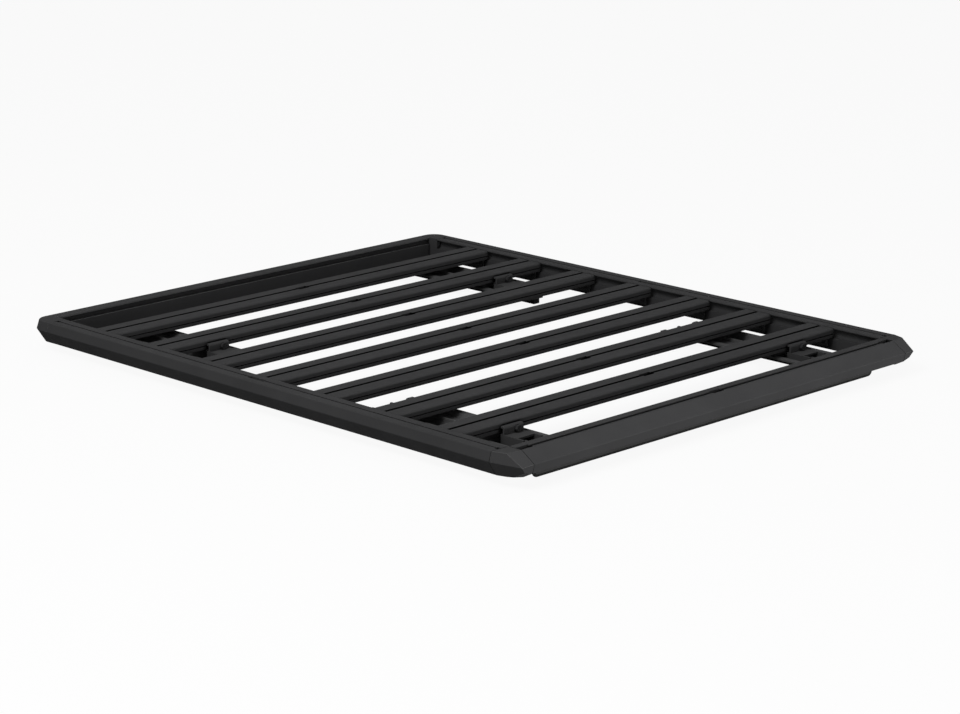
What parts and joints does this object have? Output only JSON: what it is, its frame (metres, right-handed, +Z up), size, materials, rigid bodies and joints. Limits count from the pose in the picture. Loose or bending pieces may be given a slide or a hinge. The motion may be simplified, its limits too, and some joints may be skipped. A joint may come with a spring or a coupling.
{
  "type": "flat platform roof rack",
  "caption": "Flat vehicle roof platform: slotted crosswise slats in a rail frame with faceted front corners, on tray feet with rubber pads.",
  "frame": {"origin": "middle of the platform in plan, on the underside of the rubber pads", "axes": "+X towards the front rail with the slope and wind lip, +Y to the left, +Z up"},
  "size_m": [1.5, 1.2446, 0.072],
  "materials": {
    "rail_coat": "satin black powder coat on extruded aluminium",
    "slat_coat": "satin black powder coat on extruded aluminium",
    "corner_plastic": "fine-grained black moulding",
    "foot_coat": "matte black powder coat on pressed steel",
    "pad_rubber": "matte",
    "lip_rubber": "matte"
  },
  "bodies": {
    "root": {"front_rail": "rail_coat", "rear_rail": "rail_coat", "left_side_rail": "rail_coat", "right_side_rail": "rail_coat", "front_left_corner": "corner_plastic", "front_right_corner": "corner_plastic", "rear_left_corner": "corner_plastic", "rear_right_corner": "corner_plastic", "left_slat_brackets": "foot_coat", "right_slat_brackets": "foot_coat", "wind_lip": "lip_rubber", "slat_1": "slat_coat", "slat_2": "slat_coat", "slat_3": "slat_coat", "slat_4": "slat_coat", "slat_5": "slat_coat", "slat_6": "slat_coat", "slat_7": "slat_coat", "front_left_foot_tray": "foot_coat", "front_left_foot_pad": "pad_rubber", "front_left_slat_clamps": "foot_coat", "front_right_foot_tray": "foot_coat", "front_right_foot_pad": "pad_rubber", "front_right_slat_clamps": "foot_coat", "rear_left_foot_tray": "foot_coat", "rear_left_foot_pad": "pad_rubber", "rear_left_slat_clamps": "foot_coat", "rear_right_foot_tray": "foot_coat", "rear_right_foot_pad": "pad_rubber", "rear_right_slat_clamps": "foot_coat"}
  },
  "joints": []
}
